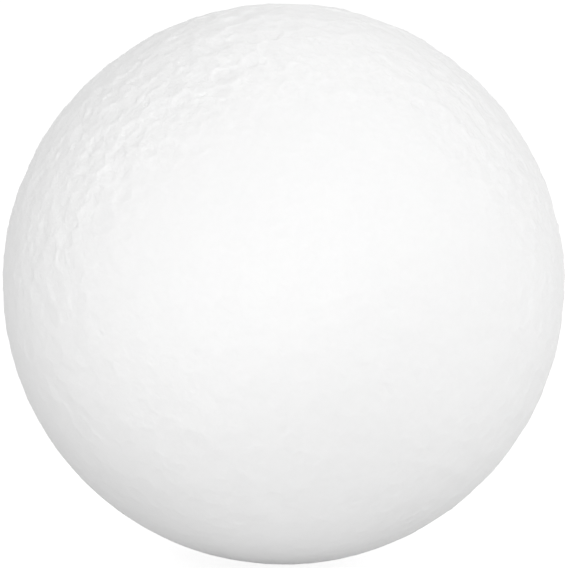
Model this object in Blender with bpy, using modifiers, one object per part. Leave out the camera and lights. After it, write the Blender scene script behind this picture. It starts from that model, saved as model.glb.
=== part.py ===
"""Moulded ball of expanded polystyrene foam: one solid piece with the mould's parting line round it.

Metres, +Z up, origin at the ball's centre. The mould opened along Y, so the parting line lies in the
XZ plane, facing neither front nor back. The ball is a turned shape: a half-circle profile that swells
into a low, rounded ridge where the two halves of the mould met.
"""

import math

import bpy

# Driving dimensions, in metres
BALL_DIAMETER = 0.100
PARTING_RIDGE_WIDTH = 0.0012
PARTING_RIDGE_HEIGHT = 0.00015

# How finely the curves are divided
STEPS_AROUND = 96
ARC_STEPS_PER_HALF = 24
RIDGE_STEPS = 6

# White foam: bead skins that scatter light, with almost no gloss
FOAM_COLOUR = (0.93, 0.93, 0.925, 1.0)
FOAM_ROUGHNESS = 0.6

BALL_RADIUS = BALL_DIAMETER / 2
RIDGE_HALF_ANGLE = PARTING_RIDGE_WIDTH / 2 / BALL_RADIUS


def clear_scene():
    """Removes whatever the file holds, so that the ball is all there is."""
    for old in list(bpy.data.objects):
        bpy.data.objects.remove(old, do_unlink=True)


def ridge_height(latitude):
    """Height of the parting ridge over the sphere: one wave of a raised cosine, level with it at both feet."""
    if abs(latitude) >= RIDGE_HALF_ANGLE:
        return 0.0
    return PARTING_RIDGE_HEIGHT * (1 + math.cos(math.pi * latitude / RIDGE_HALF_ANGLE)) / 2


def profile_latitudes():
    """Latitudes of the profile's points from the upper pole to the lower one: an arc, the ridge, an arc."""
    arc_step = (math.pi / 2 - RIDGE_HALF_ANGLE) / ARC_STEPS_PER_HALF
    upper_arc = [math.pi / 2 - arc_step * i for i in range(ARC_STEPS_PER_HALF)]
    ridge_step = 2 * RIDGE_HALF_ANGLE / RIDGE_STEPS
    ridge = [RIDGE_HALF_ANGLE - ridge_step * i for i in range(RIDGE_STEPS + 1)]
    lower_arc = [-latitude for latitude in reversed(upper_arc)]
    return upper_arc + ridge + lower_arc


def ball_profile():
    """The half outline in the XZ plane, from top to bottom on the +X side, both ends on the axis."""
    points = []
    for latitude in profile_latitudes():
        radius = BALL_RADIUS + ridge_height(latitude)
        points.append((radius * math.cos(latitude), 0.0, radius * math.sin(latitude)))
    points[0] = (0.0, 0.0, BALL_RADIUS)
    points[-1] = (0.0, 0.0, -BALL_RADIUS)
    mesh = bpy.data.meshes.new("ball_profile")
    mesh.from_pydata(points, [(i, i + 1) for i in range(len(points) - 1)], [])
    return mesh


def foam_material():
    """White expanded polystyrene."""
    material = bpy.data.materials.new("expanded_polystyrene")
    material.use_nodes = True
    shader = material.node_tree.nodes["Principled BSDF"]
    shader.inputs["Base Color"].default_value = FOAM_COLOUR
    shader.inputs["Roughness"].default_value = FOAM_ROUGHNESS
    shader.inputs["Metallic"].default_value = 0.0
    return material


def add_foam_ball(collection):
    """Turns the profile about the mould's axis, then lays that axis along Y."""
    ball = bpy.data.objects.new("foam_ball", ball_profile())
    collection.objects.link(ball)
    turning = ball.modifiers.new("turning", "SCREW")
    turning.axis = "Z"
    turning.angle = math.tau
    turning.steps = STEPS_AROUND
    turning.render_steps = STEPS_AROUND
    turning.use_merge_vertices = True
    turning.merge_threshold = 0.00001
    turning.use_smooth_shade = True
    ball.data.materials.append(foam_material())
    ball.rotation_euler = (math.pi / 2, 0.0, 0.0)
    return ball


def main():
    clear_scene()
    collection = bpy.data.collections.new("polystyrene_ball")
    bpy.context.scene.collection.children.link(collection)
    add_foam_ball(collection)


main()
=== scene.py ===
import math

import bmesh
import bpy
import numpy as np
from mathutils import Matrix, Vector


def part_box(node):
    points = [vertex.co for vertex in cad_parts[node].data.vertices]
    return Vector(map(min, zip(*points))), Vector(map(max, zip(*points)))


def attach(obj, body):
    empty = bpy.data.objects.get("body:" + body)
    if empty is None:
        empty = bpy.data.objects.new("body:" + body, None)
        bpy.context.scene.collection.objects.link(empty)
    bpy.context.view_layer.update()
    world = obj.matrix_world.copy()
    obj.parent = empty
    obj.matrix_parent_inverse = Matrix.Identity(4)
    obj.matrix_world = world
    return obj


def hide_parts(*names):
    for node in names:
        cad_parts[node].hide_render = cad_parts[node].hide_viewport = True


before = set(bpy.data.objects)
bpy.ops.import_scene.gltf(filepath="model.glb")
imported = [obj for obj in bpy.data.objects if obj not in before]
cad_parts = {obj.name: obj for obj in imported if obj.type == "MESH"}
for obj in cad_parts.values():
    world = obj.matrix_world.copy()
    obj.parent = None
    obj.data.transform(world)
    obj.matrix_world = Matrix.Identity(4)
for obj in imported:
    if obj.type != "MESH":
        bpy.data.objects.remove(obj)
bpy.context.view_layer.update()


# The ball. One solid piece of expanded polystyrene: small beads, blown up with steam in a mould of two
# halves until they pressed each other flat and fused. The skin is a mosaic of bead ends with fine seams
# between them, and the mould left a low ridge round the ball where it closed.
ball_low, ball_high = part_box("foam_ball")
ball_radius = (ball_high[1] - ball_low[1]) / 2

# The parting ridge: its height and width, the lines across it at which the skin is cut, as shares of half
# its width, and the shortest edge that the cuts may leave
ridge_height = (ball_high[0] - ball_low[0]) / 2 - ball_radius
ridge_width = 0.0012
ridge_cuts = (-1.0, -0.5, 0.0, 0.5, 1.0)
cut_snap = 0.00002
shortest_edge = 0.00003

# The beads' pitch, how far their middles stray from even spacing, as a share of it, how often they then
# settle, and how far the seams bow sideways, as a share of their length
bead_pitch = 0.0038
bead_looseness = 0.60
settling_rounds = 1
seam_bow = 0.10

# Each bead's end, from its outline to its middle: a shoulder ring and a foot ring at these distances, or
# at these shares of the way where the bead is small, and an inner ring
shoulder_reach = 0.00045
shoulder_share = 0.32
foot_reach = 0.00095
foot_share = 0.60
inner_share = 0.76

# The seams stand up as soft ridges where the bead walls fused, some lie open as grooves, and here and
# there three beads leave a pit. A seam's colour carries painted light the higher it stands, full at the
# height given below, and painted shade where it lies open as a groove or a pit; the shoulders take a
# share of its height and of that painted light and shade
seam_rise = 0.000140
seam_spread = 0.000110
seam_full_shading_height = 0.00022
shoulder_rise_share = 0.50
shoulder_shading_share = 0.30
pit_share = 0.06
pit_depth = 0.00024
shallow_pit = 0.5
deep_pit = 1.5

# The bead ends shrank a little as they cooled: most are dished, each one leans and steps its own way and
# is lighter or darker by up to bead_tone, and small lumps cover them all
bead_dish = 0.000065
bead_dish_spread = 0.000060
bead_tilt = 0.09
bead_step = 0.000060
bead_tone = 0.04
lump_height = 0.000085

# The ball's own soft waves under the mosaic
swell_waves = 60
swell_shortest = 0.0035
swell_longest = 0.0100
swell_height = 0.000130

# Where the mosaic stands out: it is faint on a broad well-fused patch that faces front, plain round that,
# a little stronger to the right and the top, and strongest in a coarse patch on the upper left
patch_facing = np.array([0.10, -0.99, 0.0])
patch_middle = 0.79
patch_edge = 0.50
coarse_facing = np.array([-0.43, -0.66, 0.61])
coarse_fall = 6
coarse_relief = 0.76
faint_relief = 0.21
plain_relief = 0.30
plain_lean = np.array([0.08, 0.0, 0.18])

# One source for every random draw. An even draw out to widest_draw on both sides has a usual size of 1
draw = np.random.default_rng(20)
widest_draw = 1.7


def unit(vectors):
    """Each row divided by its own length."""
    return vectors / np.linalg.norm(vectors, axis=-1, keepdims=True)


def scatter_middles(count, spread):
    """Directions of the bead middles: a spiral on which height falls in equal steps while the turn grows
    by the golden angle, and each point is then pushed off its place by a random vector."""
    place = np.arange(count) + 0.5
    height = 1 - 2 * place / count
    turn = place * math.pi * (3 - math.sqrt(5))
    across = np.sqrt(1 - height**2)
    spiral = np.stack([across * np.cos(turn), across * np.sin(turn), height], axis=1)
    return unit(spiral + draw.normal(0, spread, spiral.shape))


def meeting_threes(middles):
    """Threes of beads that meet at one corner: the faces of the convex hull of all the middles, as rows
    of bead numbers. A middle that lies within the hull, because two stand too close, is left out."""
    hull_mesh = bpy.data.meshes.new("bead_middles")
    hull_mesh.from_pydata(middles, [], [])
    hull = bmesh.new()
    hull.from_mesh(hull_mesh)
    bmesh.ops.convex_hull(hull, input=hull.verts)
    bmesh.ops.triangulate(hull, faces=hull.faces)
    hull.to_mesh(hull_mesh)
    hull.free()
    threes = np.empty(len(hull_mesh.loops), np.int32)
    hull_mesh.loops.foreach_get("vertex_index", threes)
    bpy.data.meshes.remove(hull_mesh)
    kept = np.unique(threes)
    return middles[kept], np.searchsorted(kept, threes.reshape(-1, 3))


def corner_directions(middles, threes):
    """Where three beads meet: the direction of the mean of their middles. It always lies between the
    three, so no outline crosses itself."""
    return unit(middles[threes].sum(axis=1))


def outline_middles(count, threes, corners):
    """The middle of each bead's outline: the direction of the mean of its corners."""
    total = np.zeros((count, 3))
    np.add.at(total, threes.ravel(), np.repeat(corners, 3, axis=0))
    return unit(total)


def settle(middles, rounds):
    """Each bead's middle moves to the middle of its outline, so that the beads come out more alike."""
    for _ in range(rounds):
        middles, threes = meeting_threes(middles)
        middles = outline_middles(len(middles), threes, corner_directions(middles, threes))
    return middles


def seams_between(threes):
    """Walks the hull by half-edges: each runs from one bead of a three to the next one anticlockwise, and
    its twin runs back along the same edge in the next three. Gives each half-edge's twin and the number
    of its seam, and one half-edge for each seam."""
    starts = threes.ravel()
    ends = np.roll(threes, -1, axis=1).ravel()
    count = threes.max() + 1
    names = starts * count + ends
    order = np.argsort(names)
    twin = order[np.searchsorted(names, ends * count + starts, sorter=order)]
    one_half, seam_of = np.unique(np.minimum(np.arange(len(starts)), twin), return_inverse=True)
    return twin, seam_of, one_half


def relief(directions):
    """How strongly the mosaic stands out, from 0 to 1. A smooth step leads from the well-fused patch to
    the skin round it. That skin's relief is a mean and a lean, with more in the coarse patch, which falls
    off with a power of the cosine of the angle from its middle."""
    share = np.clip((patch_middle - directions @ patch_facing) / (patch_middle - patch_edge), 0.0, 1.0)
    step = share * share * (3 - 2 * share)
    coarse = np.clip(directions @ coarse_facing, 0.0, 1.0) ** coarse_fall
    skin_round_patch = plain_relief + directions @ plain_lean + (coarse_relief - plain_relief) * coarse
    return faint_relief + (skin_round_patch - faint_relief) * step


wave_length = draw.uniform(swell_shortest, swell_longest, swell_waves)
wave_vectors = unit(draw.normal(0, 1, (swell_waves, 3))) * (math.tau / wave_length)[:, None]
wave_starts = draw.uniform(0, math.tau, swell_waves)


def swell(directions):
    """Soft waves of the whole skin: the sum of many plain cosine waves that run through space in random
    directions, divided by the root of half their number so that swell_height is their usual height."""
    phase = directions @ wave_vectors.T * ball_radius + wave_starts
    return swell_height * np.cos(phase).sum(axis=1) / math.sqrt(swell_waves / 2)


def bead_skin():
    """The whole mosaic as one closed mesh. Every bead is a profile carried round its outline: the seam,
    which it shares with its neighbours, a shoulder ring, a foot ring, an inner ring and the middle. A
    point's height over the sphere is its place on that profile, plus the bead's own lean and step, small
    lumps and the swell, all times the relief there. The number of beads is the ball's surface over that
    of a hexagon as wide as the pitch."""
    count = int(4 * math.pi * ball_radius**2 / (math.sqrt(3) / 2 * bead_pitch**2))
    spread = bead_looseness * bead_pitch / ball_radius / math.sqrt(2)
    middles, threes = meeting_threes(settle(scatter_middles(count, spread), settling_rounds))
    count = len(middles)
    corners = corner_directions(middles, threes)
    middles = outline_middles(count, threes, corners)
    twin, seam_of, one_half = seams_between(threes)

    seam_ends = np.stack([one_half, twin[one_half]], axis=1) // 3
    from_corner, to_corner = corners[seam_ends[:, 0]], corners[seam_ends[:, 1]]
    sideways = middles[threes.ravel()[one_half]] - middles[threes.ravel()[twin[one_half]]]
    length = np.linalg.norm(to_corner - from_corner, axis=1, keepdims=True)
    bow = draw.uniform(-seam_bow, seam_bow, (len(one_half), 1)) * length
    seam_middles = unit(from_corner + to_corner + 2 * bow * unit(sideways))

    # Round each bead, anticlockwise: a corner, the middle of the seam after it, the next corner
    outline = np.concatenate([corners, seam_middles])
    corner = np.arange(len(twin))
    before = corner + np.where(corner % 3 == 0, 2, -1)
    outline_point = np.concatenate([corner // 3, len(corners) + seam_of[before]])
    bead = np.tile(threes.ravel(), 2)
    following = np.concatenate([len(corner) + corner, twin[before]])

    to_middle = middles[bead] - outline[outline_point]
    reach = np.linalg.norm(to_middle, axis=1, keepdims=True) * ball_radius
    shoulder_way = np.minimum(shoulder_reach / reach, shoulder_share)
    foot_way = np.minimum(foot_reach / reach, foot_share)
    shoulder = unit(outline[outline_point] + to_middle * shoulder_way)
    foot = unit(outline[outline_point] + to_middle * foot_way)
    inner = unit(outline[outline_point[corner]] + to_middle[corner] * inner_share)

    # A corner stands at the mean of its three seams, or lower where it is a pit
    seam = seam_rise + seam_spread * draw.uniform(-widest_draw, widest_draw, len(one_half))
    corner_rise = np.zeros(len(corners))
    np.add.at(corner_rise, seam_ends.ravel(), np.repeat(seam, 2) / 3)
    is_pit = draw.random(len(corners)) < pit_share
    corner_rise -= is_pit * pit_depth * draw.uniform(shallow_pit, deep_pit, len(corners))
    seam_height = np.concatenate([corner_rise, seam])

    dish = bead_dish + bead_dish_spread * draw.uniform(-widest_draw, widest_draw, count)
    step = bead_step * draw.uniform(-1.0, 1.0, count)
    tilt = bead_tilt * draw.uniform(-1.0, 1.0, (count, 3))

    def end_height(directions, owner, way_out):
        """Dish, step and lean of a bead's end. The dish is one less the square of the share of the way
        out from the middle to the outline."""
        offset = (directions - middles[owner]) * ball_radius
        leaning = np.sum(offset * tilt[owner], axis=1)
        return step[owner] + leaning - dish[owner] * (1 - way_out**2)

    shoulder_end = end_height(shoulder, bead, 1 - shoulder_way[:, 0])
    shoulder_height = seam_height[outline_point] * shoulder_rise_share + shoulder_end
    foot_height = end_height(foot, bead, 1 - foot_way[:, 0])
    inner_height = end_height(inner, bead[corner], 1 - inner_share)
    middle_height = end_height(middles, np.arange(count), 0.0)

    directions = np.concatenate([outline, shoulder, foot, inner, middles])
    heights = np.concatenate([seam_height, shoulder_height, foot_height, inner_height, middle_height])
    strength = relief(directions)
    lumps = lump_height * draw.uniform(-1.0, 1.0, len(directions))
    heights = (heights + lumps + swell(directions)) * strength

    # Colour values run from 0 to 1 about a half: painted light on raised seams, painted shade in open
    # grooves and pits, a share of both on the shoulders, and each bead's own random tone. The seam's
    # painted light and shade fade faster than its height where relief is low
    fade = relief(outline) ** 2
    seam_painted_shading = np.clip(seam_height / seam_full_shading_height, -1.0, 1.0) * fade / 2
    own_tone = bead_tone * draw.uniform(-1.0, 1.0, count)
    shoulder_shading_and_tone = seam_painted_shading[outline_point] * shoulder_shading_share + own_tone[bead]
    inner_tone = own_tone[bead[corner]]
    shading_and_tones = 0.5 + np.concatenate([seam_painted_shading, shoulder_shading_and_tone, own_tone[bead], inner_tone, own_tone])

    shoulder_at = len(outline) + np.arange(len(shoulder))
    foot_at = shoulder_at + len(shoulder)
    inner_at = foot_at[0] + len(foot) + np.arange(len(inner))
    middle_at = len(directions) - count + np.arange(count)

    between = following[corner]
    onward = following[between]
    strips = np.concatenate([
        np.stack([outline_point, outline_point[following], shoulder_at[following], shoulder_at], axis=1),
        np.stack([shoulder_at, shoulder_at[following], foot_at[following], foot_at], axis=1),
    ])
    tops = np.concatenate([
        np.stack([foot_at[corner], foot_at[between], inner_at[corner]], axis=1),
        np.stack([foot_at[between], foot_at[onward], inner_at[onward]], axis=1),
        np.stack([foot_at[between], inner_at[onward], inner_at[corner]], axis=1),
        np.stack([inner_at[corner], inner_at[onward], middle_at[bead[corner]]], axis=1),
    ])

    mesh = bpy.data.meshes.new("ball_skin")
    mesh.from_pydata(directions * (ball_radius + heights)[:, None], [], strips.tolist() + tops.tolist())
    # The colour value carries painted light on raised seams and painted shade in open grooves and pits
    for name, values in (("shade_and_tone", shading_and_tones), ("relief", strength)):
        mesh.attributes.new(name, "FLOAT", "POINT").data.foreach_set("value", values.astype(np.float32))
    return mesh


def points_of(mesh):
    """The mesh's points as rows of x, y and z."""
    points = np.empty(len(mesh.vertices) * 3, np.float32)
    mesh.vertices.foreach_get("co", points)
    return points.reshape(-1, 3).astype(np.float64)


def raise_ridge(mesh):
    """Cuts the skin along the mould's parting plane and two lines on each side, then lifts what lies
    between them: one wave of a raised cosine across the plane, all the way round."""
    cut = bmesh.new()
    cut.from_mesh(mesh)
    for share in ridge_cuts:
        bmesh.ops.bisect_plane(
            cut,
            geom=cut.verts[:] + cut.edges[:] + cut.faces[:],
            dist=cut_snap,
            plane_co=(0.0, share * ridge_width / 2, 0.0),
            plane_no=(0.0, 1.0, 0.0),
        )
    bmesh.ops.dissolve_degenerate(cut, dist=shortest_edge, edges=cut.edges)
    bmesh.ops.triangulate(cut, faces=cut.faces)
    cut.to_mesh(mesh)
    cut.free()
    points = points_of(mesh)
    across = np.clip(np.abs(points[:, 1]) / (ridge_width / 2), 0.0, 1.0)
    lift = ridge_height * (1 + np.cos(math.pi * across)) / 2
    radius = np.linalg.norm(points, axis=1)
    points *= (1 + lift / radius)[:, None]
    mesh.vertices.foreach_set("co", points.astype(np.float32).ravel())
    mesh.update()


ball_mesh = bead_skin()
raise_ridge(ball_mesh)
ball_mesh.shade_smooth()
foam_ball_skin = bpy.data.objects.new("foam_ball_skin", ball_mesh)
bpy.context.scene.collection.objects.link(foam_ball_skin)

# White bead skins: the whites of painted shade in an open groove and painted light on a raised seam, and
# the buckles and grain pressed into them. A buckle paints light on its tops and shade in its hollows in
# proportion to its height, and moves the gloss from satin to dull over buckle_reach on both sides of flat
painted_shade_white = 0.88
painted_light_white = 0.98
buckle_size = 0.0012
buckle_detail = 1.0
buckle_depth = 0.00025
buckle_light_and_shade = 1.3
buckle_reach = 0.3
grain_size = 0.00030
grain_detail = 2.0
grain_depth = 0.00002
wander = 0.6
satin_roughness = 0.50
dull_roughness = 0.75


def foam_material():
    """White foam, seen as bead skins. Its white follows the mesh's colour value: each bead's own random
    tone, painted shade in open grooves and pits and painted light on raised seams. Two sizes of noise
    buckle and grain the skins and fade out with the mosaic, and the larger one also paints light on its
    tops and shade in its hollows and breaks up the satin gloss."""
    material = bpy.data.materials.new("bead_foam")
    material.use_nodes = True
    nodes, links = material.node_tree.nodes, material.node_tree.links
    shader = nodes["Principled BSDF"]

    place = nodes.new("ShaderNodeTexCoord")
    shade_and_tone = nodes.new("ShaderNodeAttribute")
    shade_and_tone.attribute_name = "shade_and_tone"
    strength = nodes.new("ShaderNodeAttribute")
    strength.attribute_name = "relief"

    def raised(size, detail, depth, under):
        """Noise of one size about a mean of zero, times the relief, as a bump over the normal that comes
        from under it. The noise node's own mean is a half."""
        noise = nodes.new("ShaderNodeTexNoise")
        noise.inputs["Scale"].default_value = 1 / size
        noise.inputs["Detail"].default_value = detail
        noise.inputs["Distortion"].default_value = wander
        links.new(place.outputs["Object"], noise.inputs["Vector"])
        centred = nodes.new("ShaderNodeMath")
        centred.operation = "SUBTRACT"
        centred.inputs[1].default_value = 0.5
        links.new(noise.outputs["Fac"], centred.inputs[0])
        faded = nodes.new("ShaderNodeMath")
        faded.operation = "MULTIPLY"
        links.new(centred.outputs["Value"], faded.inputs[0])
        links.new(strength.outputs["Fac"], faded.inputs[1])
        bump = nodes.new("ShaderNodeBump")
        bump.inputs["Distance"].default_value = depth
        links.new(faded.outputs["Value"], bump.inputs["Height"])
        if under:
            links.new(under, bump.inputs["Normal"])
        return faded.outputs["Value"], bump.outputs["Normal"]

    grain, grain_normal = raised(grain_size, grain_detail, grain_depth, None)
    buckles, skin_normal = raised(buckle_size, buckle_detail, buckle_depth, grain_normal)
    links.new(skin_normal, shader.inputs["Normal"])

    # The base colour: the foam's white with painted light on raised seams and buckle tops, painted shade
    # in grooves, pits and buckle hollows, and each bead's own random tone
    painted_whites = nodes.new("ShaderNodeMix")
    painted_whites.data_type = "RGBA"
    painted_whites.inputs["A"].default_value = (*[painted_shade_white] * 3, 1.0)
    painted_whites.inputs["B"].default_value = (*[painted_light_white] * 3, 1.0)
    # The buckles' height paints light on their tops and shade in their hollows, added to the mesh's
    # colour value
    painted_shading_and_tone = nodes.new("ShaderNodeMath")
    painted_shading_and_tone.operation = "MULTIPLY_ADD"
    painted_shading_and_tone.inputs[1].default_value = buckle_light_and_shade
    links.new(buckles, painted_shading_and_tone.inputs[0])
    links.new(shade_and_tone.outputs["Fac"], painted_shading_and_tone.inputs[2])
    links.new(painted_shading_and_tone.outputs["Value"], painted_whites.inputs["Factor"])
    links.new(painted_whites.outputs["Result"], shader.inputs["Base Color"])

    gloss = nodes.new("ShaderNodeMapRange")
    gloss.inputs["From Min"].default_value = -buckle_reach
    gloss.inputs["From Max"].default_value = buckle_reach
    gloss.inputs["To Min"].default_value = satin_roughness
    gloss.inputs["To Max"].default_value = dull_roughness
    links.new(buckles, gloss.inputs["Value"])
    links.new(gloss.outputs["Result"], shader.inputs["Roughness"])
    return material


ball_mesh.materials.append(foam_material())
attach(foam_ball_skin, "root")
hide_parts("foam_ball")


# The floor. A matt white board under the ball, which touches it at its lowest point. The camera sees it
# as plain white, part of that its own glow and the rest the light that falls on it, so that it keeps the
# ball's shadow.
floor_reach = 6.0
floor_level = points_of(ball_mesh)[:, 2].min()
floor_white = 0.7
floor_roughness = 0.9
floor_glow = 1.47
floor_glow_share = 0.60
floor_mesh = bpy.data.meshes.new("floor")
floor_mesh.from_pydata(
    [
        (-floor_reach, -floor_reach, floor_level),
        (floor_reach, -floor_reach, floor_level),
        (floor_reach, floor_reach, floor_level),
        (-floor_reach, floor_reach, floor_level),
    ],
    [],
    [(0, 1, 2, 3)],
)
floor = bpy.data.objects.new("floor", floor_mesh)
bpy.context.scene.collection.objects.link(floor)


def seen_directly(nodes, links):
    """1 for a ray from the camera, in a mirror or through glass, and 0 for one that lights something."""
    path = nodes.new("ShaderNodeLightPath")
    either = nodes.new("ShaderNodeMath")
    either.operation = "MAXIMUM"
    links.new(path.outputs["Is Camera Ray"], either.inputs[0])
    links.new(path.outputs["Is Glossy Ray"], either.inputs[1])
    any_of_three = nodes.new("ShaderNodeMath")
    any_of_three.operation = "MAXIMUM"
    links.new(either.outputs["Value"], any_of_three.inputs[0])
    links.new(path.outputs["Is Transmission Ray"], any_of_three.inputs[1])
    return any_of_three.outputs["Value"]


def board_material():
    """Matt white board, mixed with a plain white glow for the rays that see it directly."""
    material = bpy.data.materials.new("white_board")
    material.use_nodes = True
    nodes, links = material.node_tree.nodes, material.node_tree.links
    board = nodes["Principled BSDF"]
    board.inputs["Base Color"].default_value = (*[floor_white] * 3, 1.0)
    board.inputs["Roughness"].default_value = floor_roughness
    board.inputs["Specular IOR Level"].default_value = 0.0
    glow = nodes.new("ShaderNodeEmission")
    glow.inputs["Strength"].default_value = floor_glow
    share = nodes.new("ShaderNodeMath")
    share.operation = "MULTIPLY"
    share.inputs[1].default_value = floor_glow_share
    links.new(seen_directly(nodes, links), share.inputs[0])
    mix = nodes.new("ShaderNodeMixShader")
    links.new(share.outputs["Value"], mix.inputs["Fac"])
    links.new(board.outputs["BSDF"], mix.inputs[1])
    links.new(glow.outputs["Emission"], mix.inputs[2])
    links.new(mix.outputs["Shader"], nodes["Material Output"].inputs["Surface"])
    return material


floor_mesh.materials.append(board_material())


# The light. A white room lights the ball evenly from all sides, and six softboxes stand round it, none
# of which the camera sees.
world_light = 0.43
world = bpy.data.worlds.new("studio")
bpy.context.scene.world = world
world.use_nodes = True
world_nodes, world_links = world.node_tree.nodes, world.node_tree.links
backdrop = world_nodes.new("ShaderNodeMapRange")
backdrop.inputs["To Min"].default_value = world_light
backdrop.inputs["To Max"].default_value = 1.0
world_links.new(seen_directly(world_nodes, world_links), backdrop.inputs["Value"])
world_links.new(backdrop.outputs["Result"], world_nodes["Background"].inputs["Strength"])
world_nodes["Background"].inputs["Color"].default_value = (1.0, 1.0, 1.0, 1.0)

# Each softbox: its turn from the front towards +X and its rise, in degrees, its shape, its size in metres
# and its watts. All of them face the ball's middle
lamp_distance = 1.3
for lamp_name, azimuth, elevation, shape, size, watts in (
    ("low_front", 0, 5, "RECTANGLE", (0.7, 0.3), 6.7),
    ("high_left", -60, 45, "DISK", (0.7, 0.7), 3.5),
    ("right", 90, 25, "DISK", (0.7, 0.7), 3.7),
    ("high_right", 90, 45, "DISK", (0.7, 0.7), 0.8),
    ("low_right", 120, 5, "RECTANGLE", (0.7, 0.3), 1.1),
    ("high_back", 180, 55, "DISK", (0.7, 0.7), 2.3),
):
    lamp_data = bpy.data.lights.new(lamp_name, "AREA")
    lamp_data.shape = shape
    lamp_data.size, lamp_data.size_y = size
    lamp_data.energy = watts
    lamp = bpy.data.objects.new(lamp_name, lamp_data)
    bpy.context.scene.collection.objects.link(lamp)
    turn, rise = math.radians(azimuth), math.radians(elevation)
    towards = Vector((math.sin(turn) * math.cos(rise), -math.cos(turn) * math.cos(rise), math.sin(rise)))
    lamp.location = towards * lamp_distance
    lamp.rotation_euler = towards.to_track_quat("Z", "Y").to_euler()
    lamp.visible_camera = False


# The camera, a little above the ball. Its lens gives the outline the photograph's size: the slope of the
# sight line that grazes the ball, taken halfway up the parting ridge, comes to outline_radius_px.
camera_distance = 1.0
camera_rise = math.radians(10)
outline_radius_px = 280.86
image_height_px = 568
sensor = 36.0
camera_data = bpy.data.cameras.new("camera")
camera_data.sensor_width = sensor
outline_slope = math.tan(math.asin((ball_radius + ridge_height / 2) / camera_distance))
camera_data.lens = sensor * outline_radius_px / image_height_px / outline_slope
camera = bpy.data.objects.new("camera", camera_data)
bpy.context.scene.collection.objects.link(camera)
camera.location = (0.0, -camera_distance * math.cos(camera_rise), camera_distance * math.sin(camera_rise))
camera.rotation_euler = (math.pi / 2 - camera_rise, 0.0, 0.0)
bpy.context.scene.camera = camera

bpy.context.scene.view_settings.view_transform = "Standard"
